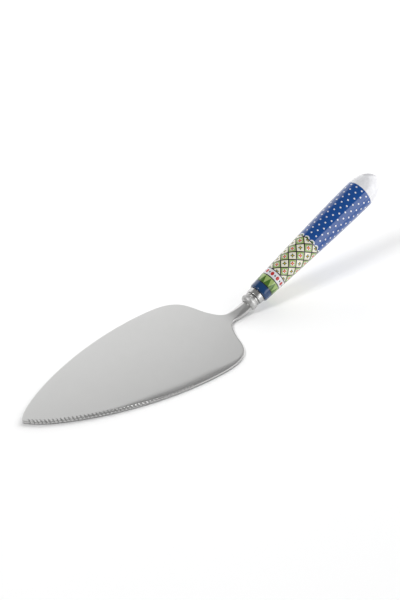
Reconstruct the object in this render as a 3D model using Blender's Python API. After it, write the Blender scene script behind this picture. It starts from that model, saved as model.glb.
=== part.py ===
"""Cake server: serrated steel blade, cranked neck, turned bead and collar, hollow porcelain handle.

Units are metres and +Z is up. The blade lies flat on the table with its tip towards -X, and the
handle climbs towards +X. The origin is at the centre of the footprint's box, on the table.
"""
import math
from collections import namedtuple

import bmesh
import bpy
import numpy as np
from mathutils import Vector

MM = 0.001
FIT = 0.3 * MM                            # clearance between neighbouring pieces

# Blade outline, laid out flat before the neck is bent
BLADE_LENGTH = 140.4 * MM                 # tip to the plain neck
BLADE_WIDTH = 70.4 * MM
BLADE_THICKNESS = 2.0 * MM
NOSE_RADIUS = 1.5 * MM
TIP_HALF_ANGLE = math.radians(56.7)       # between the outline and the centre line, behind the nose
TIP_PULL = 14.0 * MM                      # strength of the outline's curve as it leaves the nose
BELLY_PULL = 49.7 * MM                    # strength ahead of the widest line
SHOULDER_PULL = 17.5 * MM                 # strength behind the widest line
WIDEST_TO_NECK = 37.6 * MM                # widest line to the plain neck
SHOULDER_TO_NECK = 11.6 * MM              # where the outline turns from bulging to hollow
SHOULDER_DROP = 15.3 * MM                 # how far inside the widest line that turn lies
SHOULDER_ANGLE = math.radians(73)         # between the outline and the centre line, at that turn
SHOULDER_BULGE = 11.5 * MM                # strength of the bulging side of the turn
SHOULDER_HOLLOW = 6.5 * MM                # strength of the hollow side
NECK_PULL = 6.0 * MM                      # strength of the outline as it joins the neck

# Blade edges and the teeth of one of them
UNDER_WIDTH = 2.6 * MM                    # shallow bevel along the underside
UNDER_RISE = 0.9 * MM                     # height of that bevel at the outline
EDGE_LAND = 1.5 * MM                      # top of the toothed edge's upright face, from the underside
EDGE_LEAN = 0.2 * MM                      # how far that face leans in at its top
EDGE_CROWN = 7.0 * MM                     # width of the slope that falls from the top to that face
EDGE_POWER = 3.0                          # how suddenly that slope steepens: 1 is straight, 2 a parabola
SLOPE_START = 15.0 * MM                   # distance from the tip where that slope begins
SLOPE_FULL = 75.0 * MM                    # distance from the tip where it has its full depth
PLAIN_LAND = 1.9 * MM                     # top of the other edge's upright face
PLAIN_CROWN = 0.6 * MM                    # width of the other edge's slope
TOOTH_PITCH = 2.0 * MM                    # along the edge
TOOTH_LAND = 0.7 * MM                     # outer face of a tooth, along the edge
NOTCH_FLAT = 0.5 * MM                     # bottom of a notch, along the edge
TEETH_FROM_TIP = 3.5 * MM                 # plain edge between the tip and the first tooth
TEETH_TO_WIDEST = 16.0 * MM               # plain edge between the last tooth and the widest line
NOTCH_FLOOR = 1.12 * MM                   # height of the foot of a notch
NOTCH_REACH = 2.2 * MM                    # how far a notch cuts in at the top face

# Neck and tang
NECK_WIDTH = 7.3 * MM
NECK_THICKNESS = 3.8 * MM
NECK_CHAMFER = 0.4 * MM
NECK_LAND = 2.5 * MM
NECK_CROWN = 2.9 * MM
NECK_POWER = 2.0
NECK_DROP = 0.4 * MM                      # how far its middle lies below the handle's axis
NECK_BLEND = 6.0 * MM                     # stretch of the blade where the neck's section begins
CRANK_ANGLE = math.radians(24.9)          # climb of the handle
BEND_RADIUS = 32.0 * MM                   # of the neck's underside
BEND_LEAD = 1.0 * MM                      # bend starts this far ahead of the plain neck
NECK_STRAIGHT = 0.3 * MM                  # from the end of the bend to the bead
TANG_WIDTH = 5.0 * MM
TANG_TIP_WIDTH = 3.6 * MM
TANG_THICKNESS = 2.2 * MM
TANG_CHAMFER = 0.25 * MM
TANG_LENGTH = 62.0 * MM                   # from the shoulder of the neck

# Bead and its ring, turned in one piece
BEAD_LIP = 1.6 * MM                       # how far the bead stands out past the neck's sides
BEAD_LENGTH = 4.2 * MM
POCKET_DEPTH = 1.6 * MM                   # the neck's end sits this deep in the bead
GROOVE_DEPTH = 0.8 * MM                   # below the top of the bead
GROOVE_WIDTH = 0.35 * MM
RING_HEIGHT = 0.4 * MM                    # above the groove
RING_WIDTH = 0.7 * MM
RING_ROUND = 0.2 * MM

# Collar with the spigot that centres it in the handle
COLLAR_STEP = 1.0 * MM                    # how far its front stands out past the spigot
COLLAR_FLARE = 0.1 * MM                   # how much its radius grows towards the handle
COLLAR_LENGTH = 3.4 * MM
COLLAR_ROUND = 0.35 * MM
SPIGOT_WALL = 0.9 * MM                    # metal outside the corners of the tang's slot
SPIGOT_LENGTH = 5.0 * MM

# Handle
HANDLE_LENGTH = 107.2 * MM
HANDLE_DIAMETER = 19.1 * MM               # at its widest
HANDLE_FRONT_DIAMETER = 12.7 * MM
HANDLE_WALL = 3.2 * MM
BUTT_LENGTH = 15.6 * MM                   # widest line to the end
LIP_ROUND = 0.9 * MM                      # rounded front edge
FRONT_PULL = 30.0 * MM                    # strength of the taper's curve at the front
FRONT_SWELL = 1.4 * MM                    # how much the taper has grown at that distance
BACK_PULL = 22.0 * MM                     # strength of the taper's curve ahead of the widest line
CEMENT_PAST_TANG = 4.0 * MM               # how far the cement covers the end of the tang

# Facets
TIP_CUT = 0.15 * MM                       # the first cross-section lies this far behind the tip
LEAST_CORE = 0.2                          # share of the half width that the edges leave near the tip
LEAST_DEPTH = 0.25                        # share of the slope's depth that is left at the tip
ON_AXIS = 0.001 * MM                      # a smaller radius counts as a point on the axis
CURVE_STEPS = 60                          # points on each curve of the outline before it is divided
EDGE_STEP = 2.4 * MM                      # spacing of the cross-sections where there are no teeth
CROWN_STEPS = 3
BEND_STEPS = 7
TURN_SEGMENTS = 40
TAPER_STEPS = 14
BUTT_STEPS = 9
ROUND_STEPS = 4
BEAD_STEPS = 9
SMOOTH_ANGLE = math.radians(12)

# Worked out from the sizes above
BEND_START = BLADE_LENGTH - BEND_LEAD
AXIS_HEIGHT = NECK_THICKNESS / 2 + NECK_DROP                     # the handle's axis, from the underside
TANG_BASE = (NECK_THICKNESS - TANG_THICKNESS) / 2                # the tang runs on the neck's middle
SEAT = BEND_START + BEND_RADIUS * CRANK_ANGLE + NECK_STRAIGHT    # front of the bead, along the underside
SHOULDER = SEAT + POCKET_DEPTH - FIT                             # end of the neck, in the bead's pocket
TANG_END = POCKET_DEPTH - FIT + TANG_LENGTH                      # along the handle's axis from the seat
BOLSTER_LENGTH = BEAD_LENGTH + 2 * GROOVE_WIDTH + RING_WIDTH
FERRULE_START = BOLSTER_LENGTH + FIT
COLLAR_END = FERRULE_START + COLLAR_LENGTH
SPIGOT_END = COLLAR_END + SPIGOT_LENGTH
SLOT_REACH = math.hypot(TANG_WIDTH / 2 + FIT, TANG_THICKNESS / 2 + NECK_DROP + FIT)
SPIGOT_RADIUS = SLOT_REACH + SPIGOT_WALL
MOUTH_RADIUS = SPIGOT_RADIUS + FIT
LIP_RADIUS = min(LIP_ROUND, (HANDLE_FRONT_DIAMETER / 2 - MOUTH_RADIUS) / 2)
HANDLE_START = COLLAR_END + FIT
CEMENT_START = SPIGOT_END + FIT
CEMENT_END = TANG_END + CEMENT_PAST_TANG

# A cross-section of the steel: its thickness, the height of its underside, and the parts of its edges
Shape = namedtuple("Shape", "thickness base under rise lean land crown power")
BLADE_SHAPE = Shape(BLADE_THICKNESS, 0.0, UNDER_WIDTH, UNDER_RISE,
                    EDGE_LEAN, EDGE_LAND, EDGE_CROWN, EDGE_POWER)
PLAIN_SHAPE = BLADE_SHAPE._replace(lean=0.0, land=PLAIN_LAND, crown=PLAIN_CROWN)
NECK_SHAPE = Shape(NECK_THICKNESS, 0.0, NECK_CHAMFER, NECK_CHAMFER,
                   0.0, NECK_LAND, NECK_CROWN, NECK_POWER)
TANG_SHAPE = Shape(TANG_THICKNESS, TANG_BASE, TANG_CHAMFER, TANG_CHAMFER,
                   0.0, TANG_THICKNESS - TANG_CHAMFER, TANG_CHAMFER, 1.0)


def mix_shapes(first, second, share):
    """The section part of the way from one shape to another."""
    return Shape(*(a + (b - a) * share for a, b in zip(first, second)))


def grow_shape(shape, margin):
    """A section that clears the given one by a margin all round."""
    return shape._replace(thickness=shape.thickness + 2 * margin, base=shape.base - margin,
                          land=shape.land + 2 * margin)


def smooth_step(value):
    share = min(max(value, 0.0), 1.0)
    return share * share * (3 - 2 * share)


def bezier(start, start_pull, end_pull, end, steps):
    """Points along a cubic curve, without its first point."""
    u = np.linspace(0.0, 1.0, steps + 1)[1:, None]
    corners = [np.array(p) for p in (start, start_pull, end_pull, end)]
    weights = [(1 - u) ** 3, 3 * u * (1 - u) ** 2, 3 * u ** 2 * (1 - u), u ** 3]
    return [tuple(p) for p in sum(w * c for w, c in zip(weights, corners))]


def arc(centre, radii, start, end, steps):
    """Points on an ellipse round a centre, from one angle to another."""
    angles = np.linspace(start, end, steps + 1)
    return [(centre[0] + radii[0] * math.cos(a), centre[1] + radii[1] * math.sin(a)) for a in angles]


# Blade

def blade_outline():
    """Flat outline of one side as (distance from the tip, half width)."""
    nose_turn = math.pi / 2 + TIP_HALF_ANGLE
    points = arc((NOSE_RADIUS, 0.0), (NOSE_RADIUS, NOSE_RADIUS), math.pi, nose_turn, ROUND_STEPS)
    x, y = points[-1]
    widest = (BLADE_LENGTH - WIDEST_TO_NECK, BLADE_WIDTH / 2)
    turn = (BLADE_LENGTH - SHOULDER_TO_NECK, BLADE_WIDTH / 2 - SHOULDER_DROP)
    along, inwards = math.cos(SHOULDER_ANGLE), -math.sin(SHOULDER_ANGLE)
    neck = (BLADE_LENGTH, NECK_WIDTH / 2)
    points += bezier((x, y),
                     (x + TIP_PULL * math.cos(TIP_HALF_ANGLE), y + TIP_PULL * math.sin(TIP_HALF_ANGLE)),
                     (widest[0] - BELLY_PULL, widest[1]), widest, CURVE_STEPS)
    widest_index = len(points) - 1
    points += bezier(widest, (widest[0] + SHOULDER_PULL, widest[1]),
                     (turn[0] - SHOULDER_BULGE * along, turn[1] - SHOULDER_BULGE * inwards),
                     turn, CURVE_STEPS)
    points += bezier(turn, (turn[0] + SHOULDER_HOLLOW * along, turn[1] + SHOULDER_HOLLOW * inwards),
                     (neck[0] - NECK_PULL, neck[1]), neck, CURVE_STEPS)
    return np.array(points), widest_index


def tooth_places(start):
    """Places of one tooth's cross-sections along the edge, each with its share of a notch's depth."""
    flank = (TOOTH_PITCH - TOOTH_LAND - NOTCH_FLAT) / 2
    face_end = start + TOOTH_LAND
    notch = face_end + flank
    return [(start, 0.0), (face_end, 0.0), (notch, 1.0), (notch + NOTCH_FLAT, 1.0)]


def edge_places(widest_length, total_length):
    """Places of all cross-sections along the edge, each with its share of a notch's depth."""
    places = [(TIP_CUT, 0.0)]
    places += [(place, 0.0) for place in np.linspace(0.0, TEETH_FROM_TIP, ROUND_STEPS + 2)[1:-1]]
    teeth = int((widest_length - TEETH_TO_WIDEST - TEETH_FROM_TIP) / TOOTH_PITCH)
    for tooth in range(teeth):
        places += tooth_places(TEETH_FROM_TIP + tooth * TOOTH_PITCH)
    plain_from = TEETH_FROM_TIP + teeth * TOOTH_PITCH
    plain_steps = math.ceil((total_length - plain_from) / EDGE_STEP)
    places += [(place, 0.0) for place in np.linspace(plain_from, total_length, plain_steps + 1)]
    return places


def fit_shape(shape, half_width, slant):
    """The shape with its slope no wider than the blade allows, and less deep where it is narrower."""
    crown = min(shape.crown * slant, (1 - LEAST_CORE) * half_width)
    depth = max(crown / (shape.crown * slant), LEAST_DEPTH)
    drop = (shape.thickness - shape.land) * depth
    return shape._replace(lean=shape.lean * depth, crown=crown, land=shape.thickness - drop)


def edge_side(half_width, shape, slant, notch):
    """One side of a cross-section from the underside to the top, as (distance out, height)."""
    lean_share = (NOTCH_FLOOR - shape.rise) / (shape.land - shape.rise)
    points = [(shape.under, 0.0), (0.0, shape.rise), (shape.lean * lean_share, NOTCH_FLOOR)]
    for share in np.linspace(0.0, 1.0, CROWN_STEPS + 1):
        drop = (shape.thickness - shape.land) * (1 - share) ** shape.power
        points.append((shape.lean + share * (shape.crown - shape.lean), shape.thickness - drop))
    side = []
    for inset, height in points:
        cut = notch * NOTCH_REACH * slant * (height - NOTCH_FLOOR) / (shape.thickness - NOTCH_FLOOR)
        inset = min(max(inset, cut), (1 - LEAST_CORE) * half_width)
        side.append((half_width - inset, shape.base + height))
    return side


def section(half_width, shape, plain_shape, slant=1.0, notch=0.0):
    """A closed cross-section as (y, height), with the toothed edge on the -Y side."""
    toothed = edge_side(half_width, shape, slant, notch)
    plain = edge_side(half_width, plain_shape, slant, 0.0)
    loop = [(0.0, shape.base)]
    loop += [(-y, height) for y, height in toothed]
    loop += [(0.0, shape.base + shape.thickness)]
    loop += [(y, height) for y, height in reversed(plain)]
    return loop


def bend(distance, y, height):
    """Where a point of the flat blank ends up once the neck is bent."""
    run = max(distance - BEND_START, 0.0)
    angle = min(run / BEND_RADIUS, CRANK_ANGLE)
    straight = run - angle * BEND_RADIUS
    x = min(distance, BEND_START) + BEND_RADIUS * math.sin(angle) + straight * math.cos(angle)
    z = BEND_RADIUS * (1 - math.cos(angle)) + straight * math.sin(angle)
    return Vector((x - height * math.sin(angle), y, z + height * math.cos(angle)))


def steel_shapes(distance, half_width, slant=1.0):
    """The shapes of both edges at a distance from the tip, which thicken from the blade to the neck."""
    slope_share = smooth_step((distance - SLOPE_START) / (SLOPE_FULL - SLOPE_START))
    blend_start = BLADE_LENGTH - NECK_BLEND
    neck_share = smooth_step((distance - blend_start) / (SEAT - blend_start))
    return [mix_shapes(fit_shape(edge, half_width, slant), NECK_SHAPE, neck_share)
            for edge in (mix_shapes(PLAIN_SHAPE, BLADE_SHAPE, slope_share), PLAIN_SHAPE)]


def blade_sections():
    """Every cross-section of the blade, neck and tang as (distance from the tip, loop)."""
    points, widest_index = blade_outline()
    steps = np.hypot(*np.diff(points, axis=0).T)
    lengths = np.concatenate([[0.0], np.cumsum(steps)])
    sections = []
    for place, notch in edge_places(lengths[widest_index], lengths[-1]):
        piece = min(np.searchsorted(lengths, place, side="right"), len(steps)) - 1
        slant = steps[piece] / (points[piece + 1, 0] - points[piece, 0])
        distance = np.interp(place, lengths, points[:, 0])
        half_width = np.interp(place, lengths, points[:, 1])
        shapes = steel_shapes(distance, half_width, slant)
        sections.append((distance, section(half_width, *shapes, slant, notch)))
    for distance in np.linspace(BLADE_LENGTH, SEAT, BEND_STEPS + 1)[1:]:
        shapes = steel_shapes(distance, NECK_WIDTH / 2)
        sections.append((distance, section(NECK_WIDTH / 2, *shapes)))
    sections.append((SHOULDER, section(NECK_WIDTH / 2, NECK_SHAPE, NECK_SHAPE)))
    sections.append((SHOULDER, section(TANG_WIDTH / 2, TANG_SHAPE, TANG_SHAPE)))
    sections.append((SHOULDER + TANG_LENGTH, section(TANG_TIP_WIDTH / 2, TANG_SHAPE, TANG_SHAPE)))
    return sections


def loft(rings):
    """A closed mesh through rings of points that all have the same count."""
    mesh = bmesh.new()
    loops = [[mesh.verts.new(point) for point in ring] for ring in rings]
    count = len(loops[0])
    for near, far in zip(loops, loops[1:]):
        for k in range(count):
            mesh.faces.new((near[k], near[(k + 1) % count], far[(k + 1) % count], far[k]))
    mesh.faces.new(loops[0])
    mesh.faces.new(loops[-1])
    bmesh.ops.recalc_face_normals(mesh, faces=mesh.faces)
    return mesh


def make_blade():
    """Blade, neck and tang as one piece, lofted flat and bent at the neck."""
    return loft([[bend(distance, y, z) for y, z in loop] for distance, loop in blade_sections()])


# Turned pieces, along +Z from the front of the bead

def turn(profile):
    """A closed mesh from a profile of (radius, height) that starts and ends on the axis."""
    mesh = bmesh.new()
    angles = [2 * math.pi * k / TURN_SEGMENTS for k in range(TURN_SEGMENTS)]
    rings = []
    for radius, height in profile:
        if radius < ON_AXIS:
            rings.append([mesh.verts.new((0.0, 0.0, height))])
        else:
            corners = [(radius * math.cos(a), radius * math.sin(a), height) for a in angles]
            rings.append([mesh.verts.new(corner) for corner in corners])
    for lower, upper in zip(rings, rings[1:]):
        for k in range(TURN_SEGMENTS):
            around = [lower[k % len(lower)], lower[(k + 1) % len(lower)],
                      upper[(k + 1) % len(upper)], upper[k % len(upper)]]
            mesh.faces.new(list(dict.fromkeys(around)))
    bmesh.ops.recalc_face_normals(mesh, faces=mesh.faces)
    return mesh


def rounded_step(radius, start, end, rounding):
    """Profile of a cylinder between two heights, with both its corners rounded."""
    inner = radius - rounding
    return (arc((inner, start + rounding), (rounding, rounding), -math.pi / 2, 0.0, ROUND_STEPS)
            + arc((inner, end - rounding), (rounding, rounding), 0.0, math.pi / 2, ROUND_STEPS))


def make_bolster():
    """Bead, groove and ring in one turned piece, solid until it is slotted."""
    bead_radius = NECK_WIDTH / 2 + BEAD_LIP
    groove_radius = bead_radius - GROOVE_DEPTH
    round_radius = BEAD_LENGTH / 2
    bead_back = math.asin((groove_radius - bead_radius + round_radius) / round_radius)
    ring_start = BEAD_LENGTH + GROOVE_WIDTH
    profile = [(0.0, 0.0)]
    profile += arc((bead_radius - round_radius, round_radius), (round_radius, -round_radius),
                   math.pi / 2, -math.pi / 2 + bead_back, BEAD_STEPS)
    profile += [(groove_radius, ring_start)]
    ring_end = ring_start + RING_WIDTH
    profile += rounded_step(groove_radius + RING_HEIGHT, ring_start, ring_end, RING_ROUND)
    profile += [(groove_radius, ring_end), (groove_radius, BOLSTER_LENGTH), (0.0, BOLSTER_LENGTH)]
    return turn(profile)


def make_ferrule():
    """Collar and spigot in one turned piece, solid until it is slotted."""
    front = SPIGOT_RADIUS + COLLAR_STEP
    back = front + COLLAR_FLARE
    profile = [(0.0, FERRULE_START)]
    profile += arc((front - COLLAR_ROUND, FERRULE_START + COLLAR_ROUND), (COLLAR_ROUND, COLLAR_ROUND),
                   -math.pi / 2, 0.0, ROUND_STEPS)
    profile += arc((back - COLLAR_ROUND, COLLAR_END - COLLAR_ROUND), (COLLAR_ROUND, COLLAR_ROUND),
                   0.0, math.pi / 2, ROUND_STEPS)
    profile += [(SPIGOT_RADIUS, COLLAR_END), (SPIGOT_RADIUS, SPIGOT_END), (0.0, SPIGOT_END)]
    return turn(profile)


def handle_taper():
    """Outer profile of the handle from behind its lip to its widest line, as (radius, height)."""
    front = (HANDLE_FRONT_DIAMETER / 2, HANDLE_START + LIP_RADIUS)
    widest = (HANDLE_DIAMETER / 2, HANDLE_START + HANDLE_LENGTH - BUTT_LENGTH)
    return bezier(front, (front[0] + FRONT_SWELL, front[1] + FRONT_PULL),
                  (widest[0], widest[1] - BACK_PULL), widest, TAPER_STEPS)


def handle_cavity():
    """Inside of the handle from its mouth to the end of the hollow, as (radius, height)."""
    taper = [(max(MOUTH_RADIUS, radius - HANDLE_WALL), height) for radius, height in handle_taper()]
    radius, height = taper[-1]
    butt = arc((0.0, height), (radius, BUTT_LENGTH - HANDLE_WALL), 0.0, math.pi / 2, BUTT_STEPS)
    return [(MOUTH_RADIUS, HANDLE_START)] + taper + butt[1:-1] + [(0.0, butt[-1][1])]


def make_handle():
    """Hollow porcelain handle, open at the front."""
    taper = handle_taper()
    lip_centre = (HANDLE_FRONT_DIAMETER / 2 - LIP_RADIUS, HANDLE_START + LIP_RADIUS)
    lip = arc(lip_centre, (LIP_RADIUS, LIP_RADIUS), -math.pi / 2, 0.0, ROUND_STEPS)
    radius, height = taper[-1]
    butt = arc((0.0, height), (radius, BUTT_LENGTH), 0.0, math.pi / 2, BUTT_STEPS)
    inside = list(reversed(handle_cavity()))
    return turn(inside + lip + taper + butt[1:-1] + [(0.0, butt[-1][1])])


def make_cement():
    """Cement from the spigot to just past the end of the tang, solid until it is slotted."""
    heights, radii = np.array(handle_cavity())[:, ::-1].T
    inner_heights = [h for h in heights if CEMENT_START < h < CEMENT_END]
    places = [CEMENT_START] + inner_heights + [CEMENT_END]
    wall = [(np.interp(h, heights, radii) - FIT, h) for h in places]
    return turn([(0.0, CEMENT_START)] + wall + [(0.0, CEMENT_END)])


# Cutters for the slots, along the handle's axis

def slot_cutter(start, end, start_width, end_width, shape):
    """A prism of the steel's section, cleared all round, between two heights on the axis."""
    grown = grow_shape(shape, FIT)
    rings = []
    for height, width in ((start, start_width), (end, end_width)):
        loop = section(width / 2 + FIT, grown, grown)
        rings.append([Vector((AXIS_HEIGHT - z, y, height)) for y, z in loop])
    return loft(rings)


def make_tang_cutter():
    ahead = POCKET_DEPTH
    spread = (TANG_WIDTH - TANG_TIP_WIDTH) / TANG_LENGTH
    return slot_cutter(-ahead, TANG_END + FIT, TANG_WIDTH + spread * ahead, TANG_TIP_WIDTH, TANG_SHAPE)


def make_neck_cutter():
    return slot_cutter(-POCKET_DEPTH, POCKET_DEPTH, NECK_WIDTH, NECK_WIDTH, NECK_SHAPE)


# Assembly

def make_material(name, colour, metallic, roughness):
    material = bpy.data.materials.new(name)
    material.use_nodes = True
    shader = material.node_tree.nodes["Principled BSDF"]
    shader.inputs["Base Color"].default_value = (*colour, 1.0)
    shader.inputs["Metallic"].default_value = metallic
    shader.inputs["Roughness"].default_value = roughness
    return material


def add_empty(name, parent=None):
    empty = bpy.data.objects.new(name, None)
    empty.parent = parent
    bpy.context.scene.collection.objects.link(empty)
    return empty


def add_piece(name, shape, parent, material=None):
    mesh = bpy.data.meshes.new(name)
    shape.to_mesh(mesh)
    shape.free()
    mesh.shade_smooth()
    mesh.set_sharp_from_angle(angle=SMOOTH_ANGLE)
    if material:
        mesh.materials.append(material)
    piece = bpy.data.objects.new(name, mesh)
    piece.parent = parent
    bpy.context.scene.collection.objects.link(piece)
    return piece


def add_cutter(name, shape, parent):
    cutter = add_piece(name, shape, parent)
    cutter.hide_render = True
    cutter.display_type = "WIRE"
    return cutter


def cut(piece, cutter):
    slot = piece.modifiers.new(cutter.name, "BOOLEAN")
    slot.operation = "DIFFERENCE"
    slot.solver = "EXACT"
    slot.object = cutter


def centre_on_footprint(root, pieces):
    """Move the whole server so that the middle of its box's floor is at the origin."""
    bpy.context.view_layer.update()
    xs = [(piece.matrix_world @ vertex.co).x for piece in pieces for vertex in piece.data.vertices]
    root.location.x = -(min(xs) + max(xs)) / 2


def main():
    for leftover in list(bpy.data.objects):
        bpy.data.objects.remove(leftover)
    satin_steel = make_material("satin_steel", (0.56, 0.56, 0.55), 1.0, 0.36)
    bead_steel = make_material("bead_steel", (0.64, 0.64, 0.63), 1.0, 0.12)
    collar_steel = make_material("collar_steel", (0.66, 0.66, 0.65), 1.0, 0.14)
    porcelain = make_material("glazed_porcelain", (0.02, 0.07, 0.24), 0.0, 0.08)
    plaster = make_material("setting_cement", (0.62, 0.58, 0.50), 0.0, 0.85)

    server = add_empty("server")
    axis = add_empty("handle_axis", server)
    axis.location = bend(SEAT, 0.0, AXIS_HEIGHT)
    axis.rotation_euler = (0.0, math.pi / 2 - CRANK_ANGLE, 0.0)

    tang_cutter = add_cutter("tang_cutter", make_tang_cutter(), axis)
    neck_cutter = add_cutter("neck_cutter", make_neck_cutter(), axis)
    blade = add_piece("blade", make_blade(), server, satin_steel)
    bolster = add_piece("bolster", make_bolster(), axis, bead_steel)
    ferrule = add_piece("ferrule", make_ferrule(), axis, collar_steel)
    handle = add_piece("handle", make_handle(), axis, porcelain)
    cement = add_piece("cement", make_cement(), axis, plaster)
    cut(bolster, neck_cutter)
    for piece in (bolster, ferrule, cement):
        cut(piece, tang_cutter)
    centre_on_footprint(server, (blade, handle))


main()
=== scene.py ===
"""Looks of the cake server: satin steel blade, polished bead and collar, printed porcelain handle."""
import math
from collections import namedtuple

import bmesh
import bpy
import numpy as np
from mathutils import Matrix, Vector


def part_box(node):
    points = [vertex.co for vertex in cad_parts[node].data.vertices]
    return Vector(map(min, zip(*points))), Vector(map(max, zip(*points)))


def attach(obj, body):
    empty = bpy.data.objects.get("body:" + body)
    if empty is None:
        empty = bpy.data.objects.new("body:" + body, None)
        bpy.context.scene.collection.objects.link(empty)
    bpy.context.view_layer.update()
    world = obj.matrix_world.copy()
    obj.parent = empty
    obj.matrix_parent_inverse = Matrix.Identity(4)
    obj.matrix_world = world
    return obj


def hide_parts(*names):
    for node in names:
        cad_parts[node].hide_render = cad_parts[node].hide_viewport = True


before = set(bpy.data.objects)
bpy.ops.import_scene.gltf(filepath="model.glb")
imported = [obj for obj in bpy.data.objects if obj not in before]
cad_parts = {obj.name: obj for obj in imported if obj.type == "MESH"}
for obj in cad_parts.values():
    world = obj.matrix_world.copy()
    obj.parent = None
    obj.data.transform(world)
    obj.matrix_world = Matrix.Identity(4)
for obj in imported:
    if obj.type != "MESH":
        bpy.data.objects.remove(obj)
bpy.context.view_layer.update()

MM = 0.001
FIT = 0.3 * MM                            # clearance between neighbouring pieces

# Blade outline, laid out flat before the neck is bent
BLADE_LENGTH = 140.4 * MM                 # tip to the plain neck
BLADE_WIDTH = 70.4 * MM
BLADE_THICKNESS = 2.0 * MM
NOSE_RADIUS = 1.5 * MM
TIP_HALF_ANGLE = math.radians(56.7)       # between the outline and the centre line, behind the nose
TIP_PULL = 14.0 * MM                      # strength of the outline's curve as it leaves the nose
BELLY_PULL = 49.7 * MM                    # strength ahead of the widest line
SHOULDER_PULL = 17.5 * MM                 # strength behind the widest line
WIDEST_TO_NECK = 37.6 * MM                # widest line to the plain neck
SHOULDER_TO_NECK = 11.6 * MM              # where the outline turns from bulging to hollow
SHOULDER_DROP = 15.3 * MM                 # how far inside the widest line that turn lies
SHOULDER_ANGLE = math.radians(73)         # between the outline and the centre line, at that turn
SHOULDER_BULGE = 11.5 * MM                # strength of the bulging side of the turn
SHOULDER_HOLLOW = 6.5 * MM                # strength of the hollow side
NECK_PULL = 6.0 * MM                      # strength of the outline as it joins the neck

# Blade edge and its teeth
UNDER_WIDTH = 2.6 * MM                    # bevel along the underside
UNDER_RISE = 0.9 * MM                     # height of that bevel at the outline
EDGE_LAND = 1.5 * MM                      # top of the toothed edge's upright face, from the underside
EDGE_LEAN = 0.2 * MM                      # how far that face leans in at its top
EDGE_CROWN = 7.0 * MM                     # width of the slope that falls from the face to that edge
EDGE_POWER = 3.0                          # how suddenly that slope steepens: 1 is straight, 2 a parabola
SLOPE_START = 15.0 * MM                   # distance from the tip where that slope begins
SLOPE_FULL = 75.0 * MM                    # distance from the tip where it has its full depth
SLOPE_FADE = 34.0 * MM                    # stretch over which it fades again, up to the turn to the neck
PLAIN_LAND = 1.9 * MM                     # top of the other edge's upright face
PLAIN_CROWN = 0.6 * MM                    # width of the other edge's slope
TOOTH_PITCH = 2.0 * MM                    # along the edge
TOOTH_LAND = 0.7 * MM                     # outer face of a tooth, along the edge
NOTCH_FLAT = 0.5 * MM                     # bottom of a notch, along the edge
TEETH_FROM_TIP = 3.5 * MM                 # plain edge between the tip and the first tooth
TEETH_TO_WIDEST = 16.0 * MM               # plain edge between the last tooth and the widest line
NOTCH_FLOOR = 1.12 * MM                   # height of the foot of a notch
NOTCH_REACH = 2.2 * MM                    # how far a notch cuts in at the top face

# Neck and tang
NECK_WIDTH = 7.3 * MM
NECK_THICKNESS = 3.8 * MM
NECK_CHAMFER = 0.4 * MM                   # along its underside
NECK_LAND = 2.5 * MM                      # top of its upright sides, from its underside
NECK_CROWN = 2.9 * MM                     # width of the slope from its top to each side
NECK_POWER = 2.0                          # how suddenly that slope steepens
NECK_DROP = 0.4 * MM                      # how far its middle lies below the handle's axis
NECK_BLEND = 6.0 * MM                     # stretch of the blade where the neck's section begins
CRANK_ANGLE = math.radians(24.9)          # climb of the handle
BEND_RADIUS = 32.0 * MM                   # of the neck's underside
BEND_LEAD = 1.0 * MM                      # bend starts this far ahead of the plain neck
NECK_STRAIGHT = 0.3 * MM                  # from the end of the bend to the bead
TANG_WIDTH = 5.0 * MM
TANG_TIP_WIDTH = 3.6 * MM
TANG_THICKNESS = 2.2 * MM
TANG_CHAMFER = 0.25 * MM
TANG_LENGTH = 62.0 * MM                   # from the shoulder of the neck

# Bead and its ring, turned in one piece
BEAD_LIP = 1.6 * MM                       # how far the bead stands out past the neck's sides
BEAD_LENGTH = 4.2 * MM
POCKET_DEPTH = 1.6 * MM                   # the neck's end sits this deep in the bead
GROOVE_DEPTH = 0.8 * MM                   # below the top of the bead
GROOVE_WIDTH = 0.35 * MM
RING_HEIGHT = 0.4 * MM                    # above the groove
RING_WIDTH = 0.7 * MM
RING_ROUND = 0.2 * MM

# Collar with the spigot that centres it in the handle
COLLAR_STEP = 1.0 * MM                    # how far its front stands out past the spigot
COLLAR_FLARE = 0.1 * MM                   # how much its radius grows towards the handle
COLLAR_LENGTH = 3.4 * MM
COLLAR_ROUND = 0.35 * MM
SPIGOT_WALL = 0.9 * MM                    # metal outside the corners of the tang's slot
SPIGOT_LENGTH = 5.0 * MM

# Handle
HANDLE_LENGTH = 107.2 * MM
HANDLE_DIAMETER = 19.1 * MM               # at its widest
HANDLE_FRONT_DIAMETER = 12.7 * MM
HANDLE_WALL = 3.2 * MM
BUTT_LENGTH = 15.6 * MM                   # widest line to the end
LIP_ROUND = 0.9 * MM                      # rounded front edge
FRONT_PULL = 30.0 * MM                    # strength of the taper's curve at the front
FRONT_SWELL = 1.4 * MM                    # how much the taper has grown at that distance
BACK_PULL = 22.0 * MM                     # strength of the taper's curve ahead of the widest line

# Fineness of the meshes
TIP_CUT = 0.15 * MM                       # the first cross-section lies this far behind the tip
LEAST_CORE = 0.2                          # share of the half width that the edges leave near the tip
LEAST_DEPTH = 0.25                        # share of the slope's depth that is left at the tip
ON_AXIS = 0.001 * MM                      # a smaller radius counts as a point on the axis
CURVE_STEPS = 200                         # points on each curve of the outline before it is divided
EDGE_STEP = 0.9 * MM                      # spacing of the cross-sections where there are no teeth
CROWN_STEPS = 12
BEND_STEPS = 24
TURN_SEGMENTS = 120
TAPER_STEPS = 60
BUTT_STEPS = 28
ROUND_STEPS = 7
BEAD_STEPS = 28
BLADE_SMOOTH_ANGLE = math.radians(12)     # keeps the flanks of the teeth crisp
TURNED_SMOOTH_ANGLE = math.radians(35)

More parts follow.
